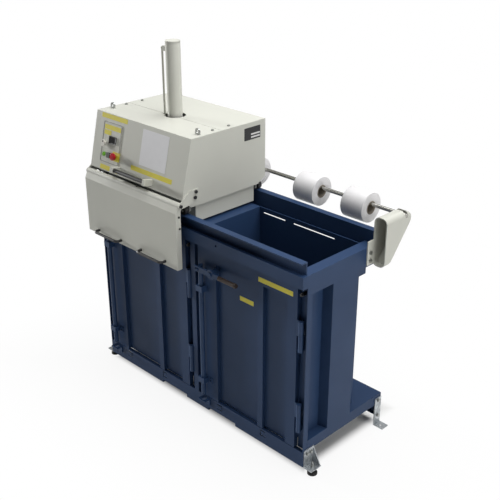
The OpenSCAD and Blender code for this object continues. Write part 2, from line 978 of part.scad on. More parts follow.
module latch_lever() {
    end = lever_reach - grip_len;
    slot = stud_d + 4;
    far = norm([lever_arm, bolt_travel]) + stud_d / 2 + 1;
    along_y([lever_y - lever_t, lever_y])
        translate([lever_x, lever_z])
            difference() {
                union() {
                    circle(25);
                    translate([-lever_arm - 26, -14])
                        square([lever_arm + 26, 28]);
                    translate([0, -12])
                        square([end, 24]);
                }
                circle(lever_pin / 2 + run_gap);
                translate([-far, -slot / 2])
                    square([far - lever_arm + stud_d / 2 + 3, slot]);
            }
}

module latch_grip() {
    translate([lever_x + lever_reach - grip_len, lever_y - lever_t / 2, lever_z])
        rotate([0, 90, 0]) {
            cylinder(h = grip_len - 12, d = grip_d);
            translate([0, 0, grip_len - 12])
                cylinder(h = 12, d1 = grip_d + 4, d2 = grip_d - 2);
        }
}

module at_left_door() {
    from_front()
        translate([-door_pitch, 0, 0])
            children();
}

module left_door() {
    color(blue)
        at_left_door() {
            door_skin();
            door_liner();
        }
}

module left_door_fittings() {
    color(steel)
        at_left_door()
            door_fittings();
}

module left_latch_rod() {
    color(steel)
        at_left_door()
            latch_rod();
}

module left_latch_lever() {
    color(steel)
        at_left_door()
            latch_lever();
}

module left_latch_grip() {
    color(black)
        at_left_door()
            latch_grip();
}

module right_door() {
    color(blue)
        from_front() {
            door_skin();
            door_liner();
        }
}

module right_door_fittings() {
    color(steel)
        from_front()
            door_fittings();
}

module right_latch_rod() {
    color(steel)
        from_front()
            latch_rod();
}

module right_latch_lever() {
    color(steel)
        from_front()
            latch_lever();
}

module right_latch_grip() {
    color(black)
        from_front()
            latch_grip();
}

// side view of a roll bracket, t inside its faces: flat foot, slanted underside and round rear end
module bracket_side(t) {
    c = [bracket_y + bracket_d - bracket_end, bracket_top - bracket_end];
    heel = [bracket_y + bracket_foot, bracket_low];
    run = norm(c - heel);
    a = atan2(c[1] - heel[1], c[0] - heel[0]) - asin(bracket_end / run);
    u = [cos(a), sin(a)];
    end = c + (bracket_end - t) * [u[1], -u[0]];
    low = end - u * (end[1] - bracket_low - t) / u[1];
    front = bracket_y - (t > 0 ? 1 : 0);
    polygon([[front, low[1]], low, end, c, [c[0], bracket_top - t], [front, bracket_top - t]]);
    translate(c)
        circle(bracket_end - t);
}

// rounded box of a roll bracket, t inside its faces
module bracket_box(t) {
    intersection() {
        translate([half_w + bracket_w / 2, 0, bracket_low + bracket_h / 2])
            along_y([bracket_y - 1, bracket_y + bracket_d + 1])
                rounded(bracket_w - 2 * t, bracket_h - 2 * t, bracket_r - t);
        along_x([half_w + t, half_w + bracket_w - t])
            bracket_side(t);
    }
}

// rounded sheet bracket, open to the front, with slots for the roll rod and a strip that is bolted on
module roll_bracket() {
    x1 = half_w + bracket_w;
    slot = rod_d + 1;
    difference() {
        union() {
            bracket_box(0);
            block([half_w, half_w + galv_t], [bracket_y - bracket_strip, bracket_y + 1],
                [bracket_low + 8, bracket_low + bracket_h * 0.53]);
        }
        bracket_box(galv_t);
        along_x([half_w - 1, x1 + 1])
            translate([rod_y, rod_z])
                circle(d = slot);
        along_x([half_w - 1, x1 + 1])
            translate([rod_y - slot / 2, rod_z])
                square([slot, 100]);
    }
}

module roll_brackets() {
    color(grey)
        from_front()
            both_sides()
                roll_bracket();
}

module roll_rod() {
    x = half_w + bracket_w - 1;
    color(steel)
        from_front()
            translate([0, rod_y, rod_z - slide_gap])
                along_x([-x, x])
                    circle(d = rod_d);
}

// strap roll hanging on the rod by its bore
module strap_roll(x) {
    w = roll_w / 2;
    color(white)
        from_front()
            ring_x([x - w, x + w], rod_y, rod_z - slide_gap - roll_drop, roll_d / 2, core_d / 2);
}

module strap_roll_1() {
    strap_roll(-pitch / 2 - roll_pitch / 2);
}

module strap_roll_2() {
    strap_roll(-pitch / 2 + roll_pitch / 2);
}

module strap_roll_3() {
    strap_roll(pitch / 2 - roll_pitch / 2);
}

module strap_roll_4() {
    strap_roll(pitch / 2 + roll_pitch / 2);
}

// welded frame of the head: roller bars, side plates and a seat for the cylinder
module head_frame() {
    x = side_in - 8;
    z = [panel_low, panel_low + bar_h];
    y0 = front_run + roller_w / 2 + 6;
    y1 = rear_run - roller_w / 2 - 6;
    color(steel)
        from_front()
            on_head() {
                difference() {
                    union() {
                        for (y = [y0, y1 - bar_t])
                            block([-x, x], [y, y + bar_t], z);
                        for (s = [-1, 1]) {
                            block([s * x - 8, s * x + 8], [y0, y1], z);
                            block([-x, x], [press_y + s * 70 - 8, press_y + s * 70 + 8], z);
                        }
                        block([-90, 90], [press_y - 78, press_y + 78], [z[1], cyl_low]);
                    }
                    translate([0, press_y, panel_low - 1])
                        cylinder(h = 100, d = ram_d + 20);
                }
                for (s = [-1, 1])
                    translate([s * (head_w / 2 - roller_in), 0, roller_z])
                        for (e = [[y0, 90], [y1, -90]]) {
                            translate([0, e[0], 0])
                                rotate([e[1], 0, 0])
                                    cylinder(h = 8 + roller_w, d = axle_d);
                            translate([-14, min(e[0], e[0] + sign(e[1]) * bar_t), -10])
                                cube([28, bar_t, z[1] - roller_z]);
                        }
            }
}

// slanted front sheet with a folded edge above and below
module front_cover() {
    x = head_w / 2 - panel_t;
    color(grey)
        from_front()
            difference() {
                on_head()
                    along_x([-x, x])
                        folded([[head_front + 36, head_top], [head_front, head_top], [-slope_out, slope_low],
                            [-slope_out + 26, slope_low - 4]], panel_t);
                control_holes(4);
            }
}

// flat side sheets and rear sheet of the head
module body_panels() {
    x = head_w / 2;
    t = panel_t;
    color(grey)
        from_front()
            on_head() {
                both_sides()
                    along_x([x - t, x])
                        polygon([[head_front, head_top], [-slope_out, slope_low],
                            [-slope_out + 20, slope_low - 12], [-3, panel_low],
                            [head_rear - corner_d, panel_low], [head_rear, rear_low],
                            [head_rear, head_top]]);
                block([t - x, x - t], [head_rear - t, head_rear], [rear_low, head_top]);
            }
}

module top_panels() {
    x = head_w / 2 - panel_t;
    y0 = head_front + 36;
    hole = cyl_d + 34;
    color(grey)
        from_front()
            on_head()
                difference() {
                    union() {
                        block([-x, x], [y0, top_seam - 1], [head_top - panel_t, head_top]);
                        block([-x, x], [top_seam + 1, head_rear - panel_t], [head_top - panel_t, head_top]);
                    }
                    translate([0, press_y, head_top - 10])
                        cylinder(h = 20, d = hole);
                    translate([pipe_x, press_y - pipe_y, head_top - 10])
                        cylinder(h = 20, d = pipe_d + 8);
                }
}

module skirts() {
    x = head_w / 2 - 12;
    y0 = chamber_y + 6;
    y1 = rear_y + 12;
    color(grey)
        from_front()
            on_head()
                along_z([skirt_low, panel_low])
                    hollow([-x, x], [y0, y1], panel_t);
}

// tube with a bored gland below, an upper cap, an oil port and a mounting flange
module cylinder_body() {
    z0 = cyl_low;
    y = press_y - pipe_y;
    z = cyl_top - pipe_drop;
    w = port_w / 2;
    difference() {
        union() {
            block([-cyl_d / 2 - port_out, 0], [y - w, y + w], [z - w, z + w]);
            cylinder_at(z0, cyl_top - 8, cyl_d);
            cylinder_at(z0, z0 + 14, cyl_d + 50);
            cylinder_at(cyl_top - 6, cyl_top, cyl_d);
            cylinder_at(cyl_top - 9, cyl_top - 5, cyl_d - 6);
        }
        cylinder_at(z0 + gland_h, cyl_top - 16, cyl_bore);
        cylinder_at(z0 - 1, z0 + gland_h + 1, ram_d + 2 * run_gap);
    }
}

// upright round bar on the press axis
module cylinder_at(z0, z1, d) {
    translate([0, press_y, z0])
        cylinder(h = z1 - z0, d = d);
}

module press_cylinder() {
    color(grey)
        from_front()
            on_head()
                cylinder_body();
}

module oil_pipe() {
    z = cyl_top - pipe_drop;
    low = cyl_low + pipe_rise;
    color(grey)
        from_front()
            on_head()
                translate([pipe_x, press_y - pipe_y, 0]) {
                    translate([0, 0, low])
                        cylinder(h = z - low, d = pipe_d);
                    translate([0, 0, z]) {
                        sphere(d = pipe_d + 4);
                        rotate([0, 90, 0])
                            cylinder(h = pipe_gap - port_out, d = pipe_d);
                    }
                }
}

// oil tank with the pump and the upright motor on it
module power_pack() {
    y = rear_run - roller_w / 2 - 22 - tank_d;
    color("#5a6068")
        from_front()
            on_head() {
                block([-unit_x - tank_w, -unit_x], [y, y + tank_d], [unit_z, unit_z + tank_h]);
                translate([-unit_x - tank_w / 2, y + tank_d / 2, unit_z + tank_h]) {
                    cylinder(h = pump_h, d = motor_d - 30);
                    translate([0, 0, pump_h])
                        cylinder(h = motor_h, d = motor_d);
                }
            }
}

module electric_box() {
    y = rear_run - roller_w / 2 - 32 - ebox_d;
    color("#8d9296")
        from_front()
            on_head()
                block([unit_x, unit_x + ebox_w], [y, y + ebox_d], [unit_z, unit_z + ebox_h]);
}

// lifting lugs and bolt heads on the head's top, bolts of the flap arms
module head_fittings() {
    color(zinc)
        from_front()
            on_head() {
                for (s = [-1, 1]) {
                    translate([s * lug_x, lug_y, head_top])
                        along_y([-lug_t / 2, lug_t / 2])
                            difference() {
                                union() {
                                    translate([-lug_r, 0])
                                        square([2 * lug_r, lug_r]);
                                    translate([0, lug_r])
                                        circle(lug_r);
                                }
                                translate([0, lug_r])
                                    circle(d = lug_eye);
                            }
                    for (y = [top_seam - 34, top_seam + 73])
                        translate([s * (lug_x + 5), y, head_top])
                            rotate([-90, 0, 0])
                                bolt_y_head(head_bolt);
                }
            }
}

// plates bolted to the head's sides, with the pins the flap turns on
module flap_arms() {
    x = head_w / 2;
    z = pivot_z;
    color(grey)
        from_front()
            on_head()
                both_sides() {
                    along_x([x, x + arm_t]) {
                        polygon([[-pivot_y, z - roll_r], [-pivot_y, z + roll_r], [-10, z + arm_h],
                            [arm_back, z + arm_h], [arm_back, z + arm_h / 5], [0, z - 8]]);
                        translate([-pivot_y, z])
                            circle(roll_r);
                    }
                    along_x([x - 14, x + arm_t])
                        translate([-pivot_y, z])
                            circle(d = flap_pin);
                    for (p = [[arm_back - 24, z + arm_h - 40], [arm_back - 18, z + arm_h - 12],
                            [-pivot_y, z]])
                        translate([x + arm_t, p[0], p[1]])
                            bolt_x_head(head_bolt);
                }
}

// holes for the controls, in the plate and in the cover behind it
module control_holes(more) {
    for (c = [[start_x, start_s, start_d], [stop_x, stop_s, stem_d], [turn_x, turn_s, stem_d],
            [key_x, key_s, stem_d]])
        on_slope(c[0], c[1])
            rotate([90, 0, 0])
                translate([0, 0, -20])
                    cylinder(h = 40, d = c[2] + 2 * slide_gap + more);
}

module control_panel() {
    color(grey)
        from_front()
            difference() {
                on_slope(-panel_x, panel_s)
                    along_y([-2, 0])
                        rounded(panel_w, panel_h, 10);
                control_holes(0);
            }
}

// round post that stands off the slanted front, from d0 behind it to d1 ahead of it
module post_out(d0, d1, d) {
    translate([0, d0, 0])
        rotate([90, 0, 0])
            cylinder(h = d1 + d0, d = d);
}

module start_button() {
    color("#6fa53c")
        from_front()
            on_slope(start_x, start_s)
                post_out(6, 9, start_d);
}

module emergency_stop() {
    color("#b3202c")
        from_front()
            on_slope(stop_x, stop_s) {
                post_out(6, 16, stem_d);
                translate([0, -16, 0])
                    post_out(0, 8, stop_d);
                translate([0, -24, 0])
                    rotate([90, 0, 0])
                        cylinder(h = 5, d1 = stop_d, d2 = stop_d - 12);
            }
}

module turn_switch() {
    color(black)
        from_front()
            on_slope(turn_x, turn_s) {
                post_out(6, 5, stem_d);
                block([-13, 13], [-17, -4], [-13, 13]);
            }
}

module key_switch() {
    color(white)
        from_front()
            on_slope(key_x, key_s) {
                post_out(6, 5, stem_d);
                translate([0, -5, 0])
                    post_out(0, 6, stem_d + 6);
                along_y([-16, -10])
                    rounded(18, 36, 8.5);
            }
}

module push_bar() {
    color(black)
        from_front()
            on_slope(0, bar_s)
                translate([-bar_len / 2, -bar_out, 0])
                    rotate([0, 90, 0])
                        cylinder(h = bar_len, d = bar_d);
}

// end blocks of the push bar and the tray under it
module bar_mounts() {
    color(grey)
        from_front()
            on_slope(0, bar_s) {
                for (s = [-1, 1])
                    translate([s * (bar_len + bar_block) / 2, 0, 0])
                        block([-bar_block / 2, bar_block / 2], [-bar_out - 14, 0], [-15, 15]);
                along_x([-bar_len / 2 + tray_in, bar_len / 2])
                    folded([[-26, -8], [-24, -17], [0, -17]], 3);
            }
}

// roller on its axle, s is the side of the head
module roller(s, y) {
    color(black)
        from_front()
            on_head()
                translate([s * (head_w / 2 - roller_in), y, roller_z])
                    along_y([-roller_w / 2, roller_w / 2])
                        difference() {
                            circle(d = roller_d);
                            circle(d = axle_d + 2 * run_gap);
                        }
}

module roller_front_left() {
    roller(-1, front_run);
}

module roller_front_right() {
    roller(1, front_run);
}

module roller_rear_left() {
    roller(-1, rear_run);
}

module roller_rear_right() {
    roller(1, rear_run);
}

// piston rod with the ribbed press plate
module ram() {
    x = chamber_w / 2 - plate_gap;
    y0 = chamber_y + plate_gap;
    y1 = rear_y - plate_gap;
    color(steel)
        from_front()
            on_head() {
                cylinder_at(piston_top - piston_h, piston_top, cyl_bore - 2 * run_gap);
                cylinder_at(plate_top - 1, piston_top - 1, ram_d);
                block([-x, x], [y0, y1], [plate_low, plate_low + plate_t]);
                block([-x, x], [press_y - 60, press_y + 60], [plate_low, plate_top]);
                for (s = [-0.31, 0.31])
                    block([s * chamber_w - 30, s * chamber_w + 30], [y0, y1], [plate_low, plate_top]);
            }
}

// folded flap with a rolled upper edge and end flanges that turn on the pins
module flap() {
    x = head_w / 2;
    c = [-pivot_y, pivot_z];
    r = roll_r - flap_t / 2;
    y0 = -flap_y + flap_t / 2;
    y1 = -flap_y + flap_flange;
    color(grey)
        from_front()
            on_head() {
                along_x([-x + 1, x - 1])
                    folded(concat([[-flap_y + 12, flap_low], [-flap_y, flap_low], [-flap_y, flap_crease]],
                        arc(c, roll_r, 190, 60, 8)), -flap_t);
                both_sides()
                    along_x([x - 4, x - 1])
                        difference() {
                            union() {
                                polygon([[y0, flap_low], [y1, flap_low], [y1, flap_crease], c + [r, 0],
                                    c - [r, 0], [y0, flap_crease]]);
                                translate(c)
                                    circle(r);
                            }
                            translate(c)
                                circle(flap_pin / 2 + run_gap);
                        }
            }
}

// bow of round bar: two legs, two bends and the bar between them, standing off along -Y
module bow(len, out, d, r) {
    for (s = [-1, 1]) {
        translate([s * len / 2, 0, 0])
            rotate([90, 0, 0])
                cylinder(h = out - r, d = d);
        translate([s * (len / 2 - r), r - out, 0])
            rotate([0, 0, 225 + 45 * s])
                rotate_extrude(angle = 90)
                    translate([r, 0])
                        circle(d = d);
    }
    translate([r - len / 2, -out, 0])
        rotate([0, 90, 0])
            cylinder(h = len - 2 * r, d = d);
}

// bow handles near the flap's lower edge
module flap_handles() {
    color(black)
        from_front()
            on_head()
                for (k = [-1, 1])
                    translate([k * handle_pitch / 2, -flap_y, flap_low + 22])
                        bow(handle_len, handle_out, handle_d, handle_r);
}

deck();
front_sill();
rear_sill();
side_skirts();
end_walls();
end_posts();
centre_post();
chamber_walls();
cross_beams();
beam_caps();
front_beam();
rear_beam();
rails();
foot_brackets();
foot_pads();
floor_brackets();
frame_bolts();
door_hardware();
door_switches();
left_door();
left_door_fittings();
left_latch_rod();
left_latch_lever();
left_latch_grip();
right_door();
right_door_fittings();
right_latch_rod();
right_latch_lever();
right_latch_grip();
roll_brackets();
roll_rod();
strap_roll_1();
strap_roll_2();
strap_roll_3();
strap_roll_4();
head_frame();
front_cover();
body_panels();
top_panels();
skirts();
press_cylinder();
oil_pipe();
power_pack();
electric_box();
head_fittings();
flap_arms();
control_panel();
push_bar();
bar_mounts();
start_button();
emergency_stop();
turn_switch();
key_switch();
roller_front_left();
roller_front_right();
roller_rear_left();
roller_rear_right();
ram();
flap();
flap_handles();
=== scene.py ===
# %% [markdown]
# # A two-chamber waste compactor
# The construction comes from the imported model: every sheet, beam, bolt and roller is already a solid.
# This lesson gives those solids their finishes and adds the thin things that lie on them: blank labels,
# a display, the yellow plate behind the emergency stop, a data plate and a few screws. The strap rolls
# are modelled again, narrower than their solids. Each step first says what the piece is on the real
# machine and how it can be made.

# %% Load the construction
import math
import bpy
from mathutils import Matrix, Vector


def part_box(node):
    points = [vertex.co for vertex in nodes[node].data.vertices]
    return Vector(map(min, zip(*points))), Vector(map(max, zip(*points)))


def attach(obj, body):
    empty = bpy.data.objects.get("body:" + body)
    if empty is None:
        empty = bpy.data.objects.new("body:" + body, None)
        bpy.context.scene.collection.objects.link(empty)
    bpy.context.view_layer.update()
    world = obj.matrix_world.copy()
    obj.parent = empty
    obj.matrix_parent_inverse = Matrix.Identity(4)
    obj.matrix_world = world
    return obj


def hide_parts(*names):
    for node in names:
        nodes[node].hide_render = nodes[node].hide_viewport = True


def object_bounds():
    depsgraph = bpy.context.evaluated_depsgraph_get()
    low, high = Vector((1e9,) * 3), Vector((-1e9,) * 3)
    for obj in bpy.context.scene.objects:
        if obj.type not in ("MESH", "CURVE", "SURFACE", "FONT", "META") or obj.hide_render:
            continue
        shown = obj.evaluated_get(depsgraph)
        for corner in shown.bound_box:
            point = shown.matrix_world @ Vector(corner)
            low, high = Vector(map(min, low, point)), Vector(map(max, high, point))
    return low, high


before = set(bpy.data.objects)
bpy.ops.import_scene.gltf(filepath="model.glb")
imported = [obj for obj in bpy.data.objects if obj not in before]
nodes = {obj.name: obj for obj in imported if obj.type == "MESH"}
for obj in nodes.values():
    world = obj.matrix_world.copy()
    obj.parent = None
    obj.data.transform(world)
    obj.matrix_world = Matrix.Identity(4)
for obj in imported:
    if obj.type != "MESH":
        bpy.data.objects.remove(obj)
cad_low, cad_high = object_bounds()
MM = 0.001
print("nodes:", len(nodes), "size in m:", [round(v, 3) for v in cad_high - cad_low])

# %% [markdown]
# ## Camera
# The camera stands in front of the right-hand corner and looks down at the machine. Its place follows
# from the photograph's vanishing lines: the turn round the machine, the tilt, and the distance that
# makes the base as wide as it looks. A long lens keeps the uprights nearly parallel.

# %% Camera
CAMERA_TURN = math.radians(44.9)
CAMERA_TILT = math.radians(24.81)
CAMERA_PLACE = Vector((2.895, -3.087, 2.710))
FOCAL_PIXELS = 857
IMAGE_PIXELS = 500
SENSOR = 36

camera = bpy.data.objects.new("camera", bpy.data.cameras.new("camera"))
bpy.context.scene.collection.objects.link(camera)
camera.location = CAMERA_PLACE
camera.rotation_euler = (math.pi / 2 - CAMERA_TILT, 0, CAMERA_TURN)
camera.data.sensor_width = SENSOR
camera.data.lens = SENSOR * FOCAL_PIXELS / IMAGE_PIXELS
bpy.context.scene.camera = camera
print("lens in mm:", round(camera.data.lens, 1))

# %% [markdown]
# ## Colours and nodes
# Paint makers give colours as sRGB values, but a shader works with linear light, so one function
# turns a hex value into linear numbers. A second small function adds a shader node, sets its values
# and links its inputs. Every material below is written with these two.

# %% Colour and node helpers
def linear(hex_code):
    """Linear RGBA of an sRGB hex colour."""
    parts = [int(hex_code[i:i + 2], 16) / 255 for i in (1, 3, 5)]
    light = [c / 12.92 if c <= 0.04045 else ((c + 0.055) / 1.055) ** 2.4 for c in parts]
    return (*light, 1.0)


def add_node(tree, kind, links=None, values=None, **settings):
    """A new node with its settings, its socket values and its incoming links."""
    node = tree.nodes.new(kind)
    for name, value in settings.items():
        setattr(node, name, value)
    for socket, value in (values or {}).items():
        node.inputs[socket].default_value = value
    for socket, source in (links or {}).items():
        tree.links.new(source, node.inputs[socket])
    return node


def new_material(name, surface=None):
    """A new material: its node tree, its surface shader and the object's own coordinates."""
    material = bpy.data.materials.new(name)
    material.use_nodes = True
    tree = material.node_tree
    shader = tree.nodes["Principled BSDF"]
    for socket, value in (surface or {}).items():
        shader.inputs[socket].default_value = value
    place = add_node(tree, "ShaderNodeTexCoord").outputs["Object"]
    return material, tree, shader, place


def per_metre(size_mm):
    """Texture scale that repeats a pattern every so many millimetres."""
    return 1 / (size_mm * MM)


print("node helpers ready")

# %% [markdown]
# ## Powder-coated steel
# Nearly everything on the machine is folded sheet steel with a baked powder coat: dark blue on the
# frame and the doors, a warm pale grey on the press head. A powder coat melts into a skin with a
# slight orange peel, so its shine breaks up a little, and large panels differ by a shade from place
# to place. A bump with waves of 4 to 6 mm gives the peel. It is drawn coarser than the real one, because
# finer waves would vanish at this size. A slow cloud shifts the colour and the gloss over the panel.

# %% Powder coats
def powder_coat(name, light, deep, roughness, peel_mm=6, cloud_mm=450, shine=0.45):
    """Baked powder coat on sheet steel: two close shades, soft gloss, orange peel."""
    material, tree, shader, place = new_material(name, {"IOR": 1.5, "Specular IOR Level": shine})
    cloud = add_node(tree, "ShaderNodeTexNoise", {"Vector": place},
                     {"Scale": per_metre(cloud_mm), "Detail": 3.0, "Roughness": 0.55})
    fade = add_node(tree, "ShaderNodeMapRange", {"Value": cloud.outputs["Fac"]},
                    {"From Min": 0.3, "From Max": 0.7, "To Min": 0.0, "To Max": 1.0})
    shade = add_node(tree, "ShaderNodeMix", {0: fade.outputs["Result"]},
                     {6: linear(light), 7: linear(deep)}, data_type="RGBA")
    gloss = add_node(tree, "ShaderNodeMapRange", {"Value": cloud.outputs["Fac"]},
                     {"From Min": 0.3, "From Max": 0.7,
                      "To Min": roughness - 0.05, "To Max": roughness + 0.06})
    peel = add_node(tree, "ShaderNodeTexNoise", {"Vector": place},
                    {"Scale": per_metre(peel_mm), "Detail": 1.0, "Roughness": 0.4})
    bump = add_node(tree, "ShaderNodeBump", {"Height": peel.outputs["Fac"]},
                    {"Strength": 0.12, "Distance": 0.4 * MM})
    tree.links.new(shade.outputs[2], shader.inputs["Base Color"])
    tree.links.new(gloss.outputs["Result"], shader.inputs["Roughness"])
    tree.links.new(bump.outputs["Normal"], shader.inputs["Normal"])
    return material


blue_coat = powder_coat("powder_coat_blue", "#2a4062", "#263a59", 0.42, shine=0.2)
fitting_coat = powder_coat("powder_coat_blue_fittings", "#2e466a", "#293f60", 0.38, 4, 120, shine=0.25)
grey_coat = powder_coat("powder_coat_pale_grey", "#c9c9c0", "#c3c4bb", 0.40)
primer_coat = powder_coat("grey_primer", "#8f918c", "#7d807c", 0.6, cloud_mm=150)
motor_coat = powder_coat("motor_enamel", "#50565e", "#454b53", 0.45, cloud_mm=90)
cabinet_coat = powder_coat("cabinet_grey_coat", "#a9adae", "#a0a4a6", 0.45, cloud_mm=200)
print("powder coats:", [m.name for m in (blue_coat, fitting_coat, grey_coat, primer_coat)])

# %% [markdown]
# ## Zinc and bright steel
# The feet and floor brackets are hot-dip galvanized: the zinc freezes in crystals about a fingertip
# wide, each with its own grey, which a cell pattern gives. Bolts are electroplated, which is finer and
# brighter. The piston rod and the roll rod are ground, so fine marks break up their shine.

# %% Zinc and steel
def metal(name, light, dark, grain_mm, rough_low, rough_high, kind="ShaderNodeTexVoronoi"):
    """Bare or plated metal: shade and gloss change from crystal to crystal or along fine marks."""
    material, tree, shader, place = new_material(name, {"Metallic": 1.0})
    grain = add_node(tree, kind, {"Vector": place}, {"Scale": per_metre(grain_mm)})
    grey = add_node(tree, "ShaderNodeSeparateColor", {"Color": grain.outputs["Color"]}).outputs["Red"]
    shade = add_node(tree, "ShaderNodeMix", {0: grey},
                     {6: linear(light), 7: linear(dark)}, data_type="RGBA")
    gloss = add_node(tree, "ShaderNodeMapRange", {"Value": grey},
                     {"To Min": rough_low, "To Max": rough_high})
    fine = add_node(tree, "ShaderNodeTexNoise", {"Vector": place}, {"Scale": per_metre(grain_mm / 4)})
    bump = add_node(tree, "ShaderNodeBump", {"Height": fine.outputs["Fac"]},
                    {"Strength": 0.1, "Distance": 0.3 * MM})
    tree.links.new(shade.outputs[2], shader.inputs["Base Color"])
    tree.links.new(gloss.outputs["Result"], shader.inputs["Roughness"])
    tree.links.new(bump.outputs["Normal"], shader.inputs["Normal"])
    return material


galvanized = metal("hot_dip_zinc", "#c9cdd0", "#a4a9ad", 14, 0.34, 0.5)
plated = metal("zinc_plated_steel", "#b9bbb9", "#8f918f", 5, 0.28, 0.42, "ShaderNodeTexNoise")
ground_steel = metal("ground_steel", "#c4c3bd", "#aeada8", 3, 0.2, 0.32, "ShaderNodeTexNoise")
print("metals:", galvanized.name, plated.name, ground_steel.name)

# %% [markdown]
# ## Plastics and rubber
# Handles and rollers are moulded black nylon, the latch grips brown phenolic resin and the foot pads black
# rubber, all with a fine grain that breaks up the shine. The push buttons are glossy acrylic: a smooth skin,
# a little unevenness in the colour, hardly any grain.

# %% Plastics and rubber
def moulded(name, colour, worn, roughness, grain_mm=1.6, bump_strength=0.25):
    """Moulded plastic or rubber: a fine even grain and a slightly lighter, worn shade in patches."""
    material, tree, shader, place = new_material(name, {"IOR": 1.49})
    patches = add_node(tree, "ShaderNodeTexNoise", {"Vector": place},
                       {"Scale": per_metre(30), "Detail": 4.0})
    shade = add_node(tree, "ShaderNodeMix", {0: patches.outputs["Fac"]},
                     {6: linear(colour), 7: linear(worn)}, data_type="RGBA")
    gloss = add_node(tree, "ShaderNodeMapRange", {"Value": patches.outputs["Fac"]},
                     {"To Min": roughness - 0.06, "To Max": roughness + 0.08})
    grain = add_node(tree, "ShaderNodeTexNoise", {"Vector": place}, {"Scale": per_metre(grain_mm)})
    bump = add_node(tree, "ShaderNodeBump", {"Height": grain.outputs["Fac"]},
                    {"Strength": bump_strength, "Distance": 0.2 * MM})
    tree.links.new(shade.outputs[2], shader.inputs["Base Color"])
    tree.links.new(gloss.outputs["Result"], shader.inputs["Roughness"])
    tree.links.new(bump.outputs["Normal"], shader.inputs["Normal"])
    return material


black_nylon = moulded("black_moulded_nylon", "#1b1b1c", "#29292a", 0.45)
black_rubber = moulded("black_rubber", "#171717", "#232322", 0.7)
brown_phenolic = moulded("brown_phenolic", "#30251f", "#3b2e26", 0.5)
green_acrylic = moulded("green_acrylic", "#6fb52c", "#64a628", 0.2, bump_strength=0.03)
red_acrylic = moulded("red_acrylic", "#b51a2b", "#a31525", 0.22, bump_strength=0.03)
white_acrylic = moulded("white_acrylic", "#e6e4dc", "#dcdad2", 0.3, bump_strength=0.05)
print("plastics:", black_nylon.name, black_rubber.name, brown_phenolic.name)

# %% [markdown]
# ## Wound strap
# The four white rolls are polyester strap, wound turn on turn as wide as the strap itself. The outside is
# one smooth turn, and only the two ends show the turns as fine rings. The four rolls lie on one axis, so
# one ring pattern about that axis serves them all. It changes with the radius only, so it leaves the round
# outside plain. A real turn is under 1 mm thick, so the rings are drawn 7 mm apart to show at all.

# %% Wound strap
def wound_strap(name, axis_y, axis_z, turn_mm=7):
    """White polyester strap wound into a roll: faint rings on the ends, a smooth outside."""
    material, tree, shader, place = new_material(name, {"Roughness": 0.6, "IOR": 1.5})
    centred = add_node(tree, "ShaderNodeMapping", {"Vector": place}, {"Location": (0, -axis_y, -axis_z)})
    rings = add_node(tree, "ShaderNodeTexWave", {"Vector": centred.outputs["Vector"]},
                     {"Scale": per_metre(turn_mm) * math.pi / 10, "Distortion": 0.5, "Detail": 1.0},
                     wave_type="RINGS", rings_direction="X")
    soil = add_node(tree, "ShaderNodeTexNoise", {"Vector": place}, {"Scale": per_metre(60), "Detail": 3.0})
    tone = add_node(tree, "ShaderNodeMath", {0: rings.outputs["Fac"], 1: soil.outputs["Fac"]},
                    operation="MULTIPLY")
    shade = add_node(tree, "ShaderNodeMix", {0: tone.outputs["Value"]},
                     {6: linear("#d6d5d6"), 7: linear("#e6e5e6")}, data_type="RGBA")
    bump = add_node(tree, "ShaderNodeBump", {"Height": rings.outputs["Fac"]},
                    {"Strength": 0.15, "Distance": 0.4 * MM})
    tree.links.new(shade.outputs[2], shader.inputs["Base Color"])
    tree.links.new(bump.outputs["Normal"], shader.inputs["Normal"])
    return material


roll_low, roll_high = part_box("strap_roll_1")
roll_axis = (roll_low + roll_high) / 2
strap = wound_strap("wound_polyester_strap", roll_axis.y, roll_axis.z)
print("strap rolls turn about y, z:", round(roll_axis.y, 4), round(roll_axis.z, 4))

# %% [markdown]
# ## Finishes on the construction
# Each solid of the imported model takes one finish. The solids keep their meshes, only the material in
# their slot is exchanged.

# %% Assign finishes
def strap_rolls():
    return [name for name in nodes if name.startswith("strap_roll")]


def rollers():
    return [name for name in nodes if name.startswith("roller_")]


FINISHES = [
    (blue_coat, ["deck", "front_sill", "rear_sill", "side_skirts", "end_walls", "end_posts", "centre_post",
                 "chamber_walls", "cross_beams", "beam_caps", "front_beam", "rear_beam", "rails",
                 "left_door", "right_door"]),
    (fitting_coat, ["door_hardware", "left_door_fittings", "right_door_fittings", "left_latch_rod",
                    "right_latch_rod", "left_latch_lever", "right_latch_lever"]),
    (grey_coat, ["front_cover", "body_panels", "top_panels", "skirts", "control_panel", "bar_mounts", "flap",
                 "flap_arms", "roll_brackets", "press_cylinder", "oil_pipe"]),
    (galvanized, ["foot_brackets", "floor_brackets"]),
    (plated, ["frame_bolts", "head_fittings"]),
    (ground_steel, ["ram", "roll_rod"]),
    (primer_coat, ["head_frame"]),
    (motor_coat, ["power_pack"]),
    (cabinet_coat, ["electric_box"]),
    (black_rubber, ["foot_pads"]),
    (black_nylon, ["push_bar", "flap_handles", "turn_switch", "door_switches"] + rollers()),
    (brown_phenolic, ["left_latch_grip", "right_latch_grip"]),
    (green_acrylic, ["start_button"]),
    (red_acrylic, ["emergency_stop"]),
    (white_acrylic, ["key_switch"]),
    (strap, strap_rolls()),
]
for finish, names in FINISHES:
    for name in names:
        nodes[name].data.materials.clear()
        nodes[name].data.materials.append(finish)
dressed = {name for finish, names in FINISHES for name in names}
print("dressed:", len(dressed), "left plain:", sorted(set(nodes) - dressed))
